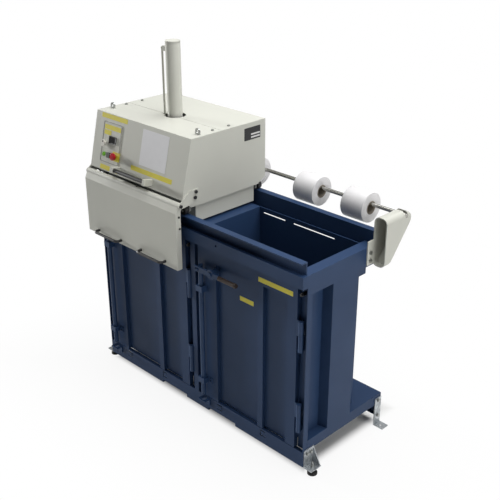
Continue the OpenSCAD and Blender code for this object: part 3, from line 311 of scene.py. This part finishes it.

# %% [markdown]
# ## Films, glass and a painted shade grey
# The thin pieces need a few more finishes. The labels are vinyl film: an even colour with faint patches,
# with the low gloss of a laminate. The display window is smoked acrylic, and the data plate is anodized
# aluminium dyed black.

# %% Films and glass
yellow_film = moulded("yellow_vinyl_film", "#d8cc38", "#cdc033", 0.42, grain_mm=3, bump_strength=0.04)
white_film = moulded("white_vinyl_film", "#e2e2e0", "#d6d6d4", 0.42, grain_mm=3, bump_strength=0.04)
pale_film = moulded("pale_vinyl_film", "#dfdfe1", "#d9d9db", 0.38, grain_mm=3, bump_strength=0.04)
cardboard = moulded("cardboard_tube", "#8f877a", "#80786c", 0.85, grain_mm=2)
smoked_acrylic = moulded("smoked_acrylic", "#0d0e10", "#121315", 0.14, bump_strength=0.02)
# painted shade: a mid grey for the border that stands in for the shadow line round the control plate
painted_shade_grey = moulded("painted_shade_grey", "#747574", "#7e7f7d", 0.6)
black_anodized = moulded("black_anodized_plate", "#222224", "#2a2a2c", 0.36, grain_mm=2, bump_strength=0.08)
print("films:", yellow_film.name, pale_film.name, smoked_acrylic.name)

# %% [markdown]
# ## How a thin piece is made
# Every label, plate and frame starts as a flat plane of its real size that stands upright and faces the
# front. Its corners are rounded with a vertex bevel, and it is extruded to its real thickness. Then the
# piece is turned and moved to its place, and that move is applied, so that it keeps the machine's own
# origin. Last it is told which moving body carries it. What repeats is modelled once and copied before it
# is placed, and each copy gets a mesh of its own.

# %% Making and placing thin pieces
def upright_plane(name, width, height, corner):
    """Upright plane with round corners that faces -Y, left in edit mode with everything selected."""
    bpy.ops.object.select_all(action="DESELECT")
    bpy.ops.mesh.primitive_plane_add(size=1, rotation=(math.pi / 2, 0, 0))
    piece = bpy.context.object
    piece.name = name
    piece.scale = (width * MM, height * MM, 1)
    bpy.ops.object.transform_apply(location=False, rotation=True, scale=True)
    bpy.ops.object.mode_set(mode="EDIT")
    bpy.ops.mesh.select_all(action="SELECT")
    bpy.ops.mesh.bevel(affect="VERTICES", offset=corner * MM, segments=4)
    return piece


def pull_out(thick):
    """Extrude what is selected towards the front."""
    bpy.ops.mesh.extrude_region_move(TRANSFORM_OT_translate={"value": (0, -thick * MM, 0)})


def end_edit():
    """Leave edit mode with all faces turned outwards."""
    bpy.ops.mesh.select_all(action="SELECT")
    bpy.ops.mesh.normals_make_consistent(inside=False)
    bpy.ops.object.mode_set(mode="OBJECT")


def film(name, width, height, finish, corner=2, thick=0.4):
    """Flat label or plate."""
    piece = upright_plane(name, width, height, corner)
    pull_out(thick)
    end_edit()
    piece.data.materials.append(finish)
    return piece


def cut(piece, cutter):
    """Cut one solid out of another and remove the cutter."""
    bpy.ops.object.select_all(action="DESELECT")
    bpy.context.view_layer.objects.active = piece
    step = piece.modifiers.new("cut", "BOOLEAN")
    step.operation = "DIFFERENCE"
    step.object = cutter
    bpy.ops.object.modifier_apply(modifier=step.name)
    bpy.data.objects.remove(cutter)


def settle(piece, body, place, turn=(0, 0, 0)):
    """Turn and move a finished piece to its place, apply that, and let a body carry it."""
    bpy.ops.object.select_all(action="DESELECT")
    piece.select_set(True)
    bpy.context.view_layer.objects.active = piece
    piece.location = place
    piece.rotation_euler = turn
    bpy.ops.object.transform_apply(location=True, rotation=True, scale=True)
    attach(piece, body)
    return piece


def copies(piece, names):
    """The finished piece under the first name, and a copy with its own mesh for each further name."""
    piece.name = names[0]
    made = [piece]
    for name in names[1:]:
        bpy.ops.object.select_all(action="DESELECT")
        piece.select_set(True)
        bpy.context.view_layer.objects.active = piece
        bpy.ops.object.duplicate(linked=False)
        made.append(bpy.context.object)
        made[-1].name = name
    return made


print("piece helpers ready")

# %% [markdown]
# ## The slanted front
# The labels and controls lie on the head's slanted front. A place on it is given as the distance right of
# the head's middle, the distance down the slope from its top edge, and the distance off the sheet, which
# is how a fitter would measure it. The control plate is 2 mm thick, so things on it start 2 mm off.

# %% Places on the slanted front
cover_low, cover_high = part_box("front_cover")
HEAD_X = (cover_low.x + cover_high.x) / 2
SLOPE_TOP = Vector((HEAD_X, -0.567, 1.506))
SLOPE_FOOT = Vector((HEAD_X, -0.636, 1.218))
SLOPE_DOWN = (SLOPE_FOOT - SLOPE_TOP).normalized()
SLOPE_OUT = Vector((0, SLOPE_DOWN.z, -SLOPE_DOWN.y))
SLOPE_TURN = (-math.atan2(SLOPE_OUT.z, -SLOPE_OUT.y), 0, 0)
PLATE = 2


def on_slope(right, down, off):
    """Point on the slanted front, in mm right of the middle, down the slope and off the sheet."""
    return SLOPE_TOP + Vector((right * MM, 0, 0)) + SLOPE_DOWN * down * MM + SLOPE_OUT * off * MM


print("slope leans by degrees:", round(-math.degrees(SLOPE_TURN[0]), 2))

# %% [markdown]
# ## Yellow labels
# Five yellow labels lie on the slanted front and two on the right door. Each one is a blank film 24 mm high
# with small round corners. The first table gives each label's place right of the middle and down the slope,
# its width, and how far it lies off the sheet.

# %% Yellow labels
LABEL = 24
HEAD_LABELS = [("top_label", -214, 16, 212, 0), ("plate_label_long", -216.5, 69, 133, PLATE),
               ("plate_label_short", -254, 97, 58, PLATE), ("foot_label", -214, 279, 146, 0),
               ("bar_label", 118, 229, 316, 0)]
DOOR_LABELS = [("door_label_long", 214, (0.5565, -0.578, 0.945)),
               ("door_label_short", 92, (0.354, -0.559, 0.787))]
for name, right, down, width, off in HEAD_LABELS:
    settle(film(name, width, LABEL, yellow_film), "press_head", on_slope(right, down, off), SLOPE_TURN)
for name, width, place in DOOR_LABELS:
    settle(film(name, width, LABEL, yellow_film), "right_door", place)
print("yellow labels:", len(HEAD_LABELS) + len(DOOR_LABELS))

# %% [markdown]
# ## Pale sticker
# A large pale sticker lies right of the middle. It is a bare film, a little cooler and lighter than the
# paint round it.

# %% Pale sticker
STICKER_SIZE = (200, 180)
STICKER_PLACE = on_slope(118, 112, 0)
sticker = film("pale_sticker", *STICKER_SIZE, pale_film, corner=3)
settle(sticker, "press_head", STICKER_PLACE, SLOPE_TURN)
print("pale sticker in mm:", STICKER_SIZE)

# %% [markdown]
# ## Painted shade round the control plate
# A narrow grey border runs round the control plate. It is painted shade: it stands in for the shadow line at
# the plate's edge. It is made from a plane of the plate's outline: an inset leaves a border 2.5 mm wide, the
# middle is deleted, and the border is extruded to 1 mm.

# %% Painted shade border round the control plate
SHADE_BORDER_SIZE = (148, 208)
SHADE_BORDER_CORNER = 9
SHADE_BORDER_WIDTH = 2.5
SHADE_BORDER_THICK = 1
SHADE_BORDER_PLACE = on_slope(-218, 147.1, PLATE)

# painted shade: this grey border stands in for the shadow line at the plate's edge, it is no real part
shade_border = upright_plane("plate_shade_border", *SHADE_BORDER_SIZE, SHADE_BORDER_CORNER)
bpy.ops.mesh.inset(thickness=SHADE_BORDER_WIDTH * MM)
bpy.ops.mesh.delete(type="FACE")
bpy.ops.mesh.select_all(action="SELECT")
pull_out(SHADE_BORDER_THICK)
end_edit()
shade_border.data.materials.append(painted_shade_grey)
settle(shade_border, "press_head", SHADE_BORDER_PLACE, SLOPE_TURN)
print("trim faces:", len(shade_border.data.polygons))

# %% [markdown]
# ## Display
# The display is a black moulded housing that stands 5 mm off the control plate, with a smoked window that
# lies 1 mm deep inside a narrow border. The front face is inset for the border and pushed back for the
# window, and that last face takes the window's own material.

# %% Display
DISPLAY_SIZE = (56, 38)
DISPLAY_CORNER = 3
DISPLAY_OUT = 5
DISPLAY_BORDER = 4
WINDOW_DEEP = 1
DISPLAY_PLACE = on_slope(-206, 129.5, PLATE)

display = upright_plane("display", *DISPLAY_SIZE, DISPLAY_CORNER)
pull_out(DISPLAY_OUT)
bpy.ops.mesh.inset(thickness=DISPLAY_BORDER * MM)
bpy.ops.transform.translate(value=(0, WINDOW_DEEP * MM, 0))
display.data.materials.append(black_nylon)
display.data.materials.append(smoked_acrylic)
display.active_material_index = 1
bpy.ops.object.material_slot_assign()
end_edit()
settle(display, "press_head", DISPLAY_PLACE, SLOPE_TURN)
print("display faces:", len(display.data.polygons))

# %% [markdown]
# ## Yellow plate of the emergency stop
# Behind the red mushroom lies a yellow plate that reaches further to the right, past the control plate's
# edge. Its hole leaves room for the stem, which slides in and out. The hole is cut with a Boolean, and the
# cutting cylinder is removed afterwards.

# %% Emergency stop plate
STOP_PLATE_SIZE = (58, 46)
STOP_PLATE_THICK = 3
STOP_PLATE_PLACE = on_slope(-164, 207.1, PLATE)
HOLE_RADIUS = 9
HOLE_RIGHT = -6
CUTTER_LONG = 20

stop_plate = film("stop_plate", *STOP_PLATE_SIZE, yellow_film, corner=4, thick=STOP_PLATE_THICK)
bpy.ops.object.select_all(action="DESELECT")
bpy.ops.mesh.primitive_cylinder_add(vertices=40, radius=HOLE_RADIUS * MM, depth=CUTTER_LONG * MM,
                                    location=(HOLE_RIGHT * MM, 0, 0), rotation=(math.pi / 2, 0, 0))
cut(stop_plate, bpy.context.object)
settle(stop_plate, "press_head", STOP_PLATE_PLACE, SLOPE_TURN)
print("stop plate faces:", len(stop_plate.data.polygons))

# %% [markdown]
# ## Data plate
# On the head's right side, near its rear edge, sits a black data plate with two white bars. The plate faces
# right, so it is turned by a quarter. The bars lie on its surface.

# %% Data plate
QUARTER = (0, 0, math.pi / 2)
DATA_PLATE_SIZE = (112, 64)
DATA_PLATE_THICK = 0.8
FIELD_SIZE = (62, 8)
FIELD_Y = -0.143
FIELD_HEIGHTS = {"upper_field": 1.445, "lower_field": 1.4295}

side_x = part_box("body_panels")[1].x
data_plate = film("data_plate", *DATA_PLATE_SIZE, black_anodized, corner=3, thick=DATA_PLATE_THICK)
settle(data_plate, "press_head", (side_x, -0.164, 1.4495), QUARTER)
field_x = side_x + DATA_PLATE_THICK * MM
for field in copies(film("field", *FIELD_SIZE, white_film, corner=1), list(FIELD_HEIGHTS)):
    settle(field, "press_head", (field_x, FIELD_Y, FIELD_HEIGHTS[field.name]), QUARTER)
print("data plate on x:", round(side_x, 4))

# %% [markdown]
# ## Strap rolls
# Four rolls of white strap hang on the rod behind the machine. A roll is a thick ring of wound strap on a
# cardboard tube. The ring starts as a cylinder of the roll's size, a second cylinder cuts its bore with
# a Boolean, and its sharp edges are bevelled. The tube is made the same way, a little longer, and joined
# to the ring. The finished roll is copied for the other three. Each lies at the right end of the space
# that the construction keeps for it, which is wider.

# %% Strap rolls
ROLL_WIDTH = 130
ROLL_OUTER = 150
CORE_OUTER = 66
CORE_INNER = 58
CORE_OUT = 1.5
CORE_CLEARANCE = 0.2
RING_SIDES = 96
EDGE_ROUND = 1.2
SIDEWAYS = (0, math.pi / 2, 0)


def ring(name, outer, inner, length, finish):
    """Ring about the X axis with a bore and soft edges."""
    bpy.ops.object.select_all(action="DESELECT")
    bpy.ops.mesh.primitive_cylinder_add(vertices=RING_SIDES, radius=inner / 2 * MM,
                                        depth=2 * length * MM, rotation=SIDEWAYS)
    bore = bpy.context.object
    bpy.ops.mesh.primitive_cylinder_add(vertices=RING_SIDES, radius=outer / 2 * MM,
                                        depth=length * MM, rotation=SIDEWAYS)
    piece = bpy.context.object
    piece.name = name
    bpy.ops.object.transform_apply(location=False, rotation=True, scale=False)
    cut(piece, bore)
    bpy.ops.object.mode_set(mode="EDIT")
    bpy.ops.mesh.select_mode(type="EDGE")
    bpy.ops.mesh.select_all(action="DESELECT")
    bpy.ops.mesh.edges_select_sharp(sharpness=math.radians(60))
    bpy.ops.mesh.bevel(affect="EDGES", offset=EDGE_ROUND * MM, segments=2)
    end_edit()
    piece.data.materials.append(finish)
    return piece


wound = ring("wound", ROLL_OUTER, CORE_OUTER + CORE_CLEARANCE, ROLL_WIDTH, strap)
core = ring("core", CORE_OUTER, CORE_INNER, ROLL_WIDTH + 2 * CORE_OUT, cardboard)
bpy.ops.object.select_all(action="DESELECT")
core.select_set(True)
wound.select_set(True)
bpy.context.view_layer.objects.active = wound
bpy.ops.object.join()
bpy.ops.object.shade_smooth_by_angle(angle=math.radians(35))
roll_copies = copies(wound, ["wound_" + name for name in strap_rolls()])
for name, roll in zip(strap_rolls(), roll_copies):
    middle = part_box(name)[1].x - (ROLL_WIDTH / 2 + CORE_OUT) * MM
    settle(roll, name, (middle, roll_axis.y, roll_axis.z))
    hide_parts(name)
    print(roll.name, "at x:", round(middle, 4), "faces:", len(roll.data.polygons))

# %% [markdown]
# ## Screws and keyhole
# Two bolts hold the flap's right end flange, black caps cover the bolts of the flap's arms, one small screw
# sits on the flap's rolled edge, and the key switch shows a dark keyhole. Each is a short cylinder with
# bevelled edges, and the bolts and caps have six sides.

# %% Screws and keyhole
def stud(name, sides, diameter, height, finish):
    """Short bolt, cap, screw or insert that faces -Y, with bevelled edges."""
    bpy.ops.object.select_all(action="DESELECT")
    bpy.ops.mesh.primitive_cylinder_add(vertices=sides, radius=diameter / 2 * MM, depth=height * MM,
                                        location=(0, -height / 2 * MM, 0), rotation=(math.pi / 2, 0, 0))
    piece = bpy.context.object
    piece.name = name
    bpy.ops.object.transform_apply(location=True, rotation=True, scale=True)
    bpy.ops.object.mode_set(mode="EDIT")
    bpy.ops.mesh.select_all(action="SELECT")
    bpy.ops.mesh.bevel(affect="EDGES", offset=min(height, diameter) * 0.12 * MM, segments=2)
    end_edit()
    piece.data.materials.append(finish)
    return piece


HEX = 6
ROUND = 20
FLANGE_BOLT_SIZE = (12, 4)
ARM_CAP_SIZE = (19, 7)
FLAP_SCREW_SIZE = (9, 3)
FLAP_SCREW_PLACE = (HEAD_X + 0.040, -0.652, 1.2075)
KEYHOLE_SIZE = (9, 0.8)
KEYHOLE_PLACE = on_slope(-270, 147, 16)
FACING_UP = (-math.pi / 2, 0, 0)
LEFT_QUARTER = (0, 0, -math.pi / 2)

flap_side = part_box("flap")[1].x
FLANGE_BOLTS = {"flange_bolt_upper": (-0.660, 1.140), "flange_bolt_lower": (-0.657, 1.080)}
for bolt in copies(stud("flange_bolt", HEX, *FLANGE_BOLT_SIZE, black_nylon), list(FLANGE_BOLTS)):
    settle(bolt, "flap", (flap_side, *FLANGE_BOLTS[bolt.name]), QUARTER)

ARM_CAPS = {}
for side, face, turn in (("right", 0.0025, QUARTER), ("left", -0.7375, LEFT_QUARTER)):
    for name, y, z in (("pivot", -0.650, 1.194), ("lower", -0.558, 1.216), ("upper", -0.552, 1.244)):
        ARM_CAPS[f"{side}_arm_cap_{name}"] = ((face, y, z), turn)
for cap in copies(stud("arm_cap", HEX, *ARM_CAP_SIZE, black_nylon), list(ARM_CAPS)):
    settle(cap, "press_head", *ARM_CAPS[cap.name])
settle(stud("flap_screw", ROUND, *FLAP_SCREW_SIZE, black_nylon), "flap", FLAP_SCREW_PLACE, FACING_UP)
settle(stud("keyhole", ROUND, *KEYHOLE_SIZE, black_nylon), "key_switch", KEYHOLE_PLACE, SLOPE_TURN)
print("bolts:", len(FLANGE_BOLTS), "caps:", len(ARM_CAPS), "and a screw and a keyhole")

# %% [markdown]
# ## Floor
# The machine stands on a pale studio floor that runs out of the picture on all sides. The floor is matt
# white: beside the machine it takes a faint shadow, and further out it blends into plain white. Under the
# machine it stays in shade, or its white would glow through the open strip behind the sill. The camera sees
# the white in full. The machine's gloss mirrors only a quarter of it, or the dark blue would look milky.

# %% Floor
FLOOR_SIZE = 60
FOOT_X = (0.0, 0.74)
FOOT_Y = (-0.19, 0.37)
MIRROR_SHARE = 0.25


def camera_or_mirror(tree):
    """1 for rays from the camera or through glass, a share for rays off a glossy surface, else 0."""
    path = add_node(tree, "ShaderNodeLightPath")
    mirror = add_node(tree, "ShaderNodeMath", {0: path.outputs["Is Glossy Ray"]}, {1: MIRROR_SHARE},
                      operation="MULTIPLY")
    seen = add_node(tree, "ShaderNodeMath", {0: path.outputs["Is Camera Ray"], 1: mirror.outputs["Value"]},
                    operation="MAXIMUM")
    glass = path.outputs["Is Transmission Ray"]
    return add_node(tree, "ShaderNodeMath", {0: seen.outputs["Value"], 1: glass},
                    operation="MAXIMUM").outputs["Value"]


def studio_floor(name):
    """Matt white floor that fades to plain white away from the machine."""
    material, tree, shader, place = new_material(name, {"Roughness": 0.9, "Base Color": linear("#e8e8e6")})
    axes = add_node(tree, "ShaderNodeSeparateXYZ", {0: place})
    outside = []
    for axis, middle, half in (("X", *FOOT_X), ("Y", *FOOT_Y)):
        off = add_node(tree, "ShaderNodeMath", {0: axes.outputs[axis]}, {1: middle}, operation="SUBTRACT")
        far = add_node(tree, "ShaderNodeMath", {0: off.outputs["Value"]}, operation="ABSOLUTE")
        past = add_node(tree, "ShaderNodeMath", {0: far.outputs["Value"]}, {1: half}, operation="SUBTRACT")
        outside.append(past.outputs["Value"])
    away = add_node(tree, "ShaderNodeMath", {0: outside[0], 1: outside[1]}, operation="MAXIMUM")
    under = add_node(tree, "ShaderNodeMapRange", {"Value": away.outputs["Value"]},
                     {"From Min": -0.05, "From Max": 0.02}, interpolation_type="SMOOTHSTEP")
    shadow = add_node(tree, "ShaderNodeMapRange", {"Value": away.outputs["Value"]},
                      {"From Min": 0.0, "From Max": 0.8, "To Min": 0.9, "To Max": 1.0})
    fade = add_node(tree, "ShaderNodeMath", {0: under.outputs["Result"], 1: shadow.outputs["Result"]},
                    operation="MULTIPLY")
    share = add_node(tree, "ShaderNodeMath", {0: fade.outputs["Value"], 1: camera_or_mirror(tree)},
                     operation="MULTIPLY")
    glow = add_node(tree, "ShaderNodeEmission", None, {"Color": (1, 1, 1, 1), "Strength": 1.0})
    both = add_node(tree, "ShaderNodeMixShader",
                    {0: share.outputs["Value"], 1: shader.outputs["BSDF"], 2: glow.outputs["Emission"]})
    tree.links.new(both.outputs["Shader"], tree.nodes["Material Output"].inputs["Surface"])
    return material


bpy.ops.object.select_all(action="DESELECT")
bpy.ops.mesh.primitive_plane_add(size=FLOOR_SIZE, location=(0, 0, cad_low.z - 0.5 * MM))
floor = bpy.context.object
floor.name = "studio_floor"
bpy.ops.object.transform_apply(location=True)
floor.data.materials.append(studio_floor("studio_floor_paint"))
print("floor at z:", round(cad_low.z, 4))

# %% [markdown]
# ## Light
# One wide lamp overhead and one on the right light the machine as in a studio. Parallel light from the left
# grazes the front and draws the recesses of the doors, and the world adds a weak even fill. All lamps are
# white, so a colour renders about as it is written.

# %% Lamps and world
def lamp(name, kind, place, target, power):
    """Lamp that faces a point on the machine."""
    light = bpy.data.lights.new(name, kind)
    light.energy = power
    holder = bpy.data.objects.new(name, light)
    bpy.context.scene.collection.objects.link(holder)
    holder.location = place
    aim = Vector(target) - Vector(place)
    holder.rotation_euler = aim.to_track_quat("-Z", "Y").to_euler()
    return light


MIDDLE = (cad_low + cad_high) / 2
FILL = 0.05
lamp("overhead_lamp", "AREA", (0.6, 0.5, 5.2), MIDDLE, 310).size = 4.5
lamp("right_lamp", "AREA", (5.2, 0.0, 2.6), MIDDLE, 95).size = 3.0
lamp("grazing_light", "SUN", (-5.0, -1.4, 1.1), (0, -0.6, 0.6), 3.6).angle = math.radians(7)

world = bpy.data.worlds.new("studio_world")
bpy.context.scene.world = world
world.use_nodes = True
sky = world.node_tree
fill = sky.nodes["Background"]
fill.inputs["Color"].default_value = (1, 1, 1, 1)
level = add_node(sky, "ShaderNodeMapRange", {"Value": camera_or_mirror(sky)},
                 {"To Min": FILL, "To Max": 1.0})
sky.links.new(level.outputs["Result"], fill.inputs["Strength"])
bpy.context.scene.view_settings.view_transform = "Standard"

# %% [markdown]
# ## Finish
# The view layer is brought up to date.

# %% Finish
bpy.context.view_layer.update()
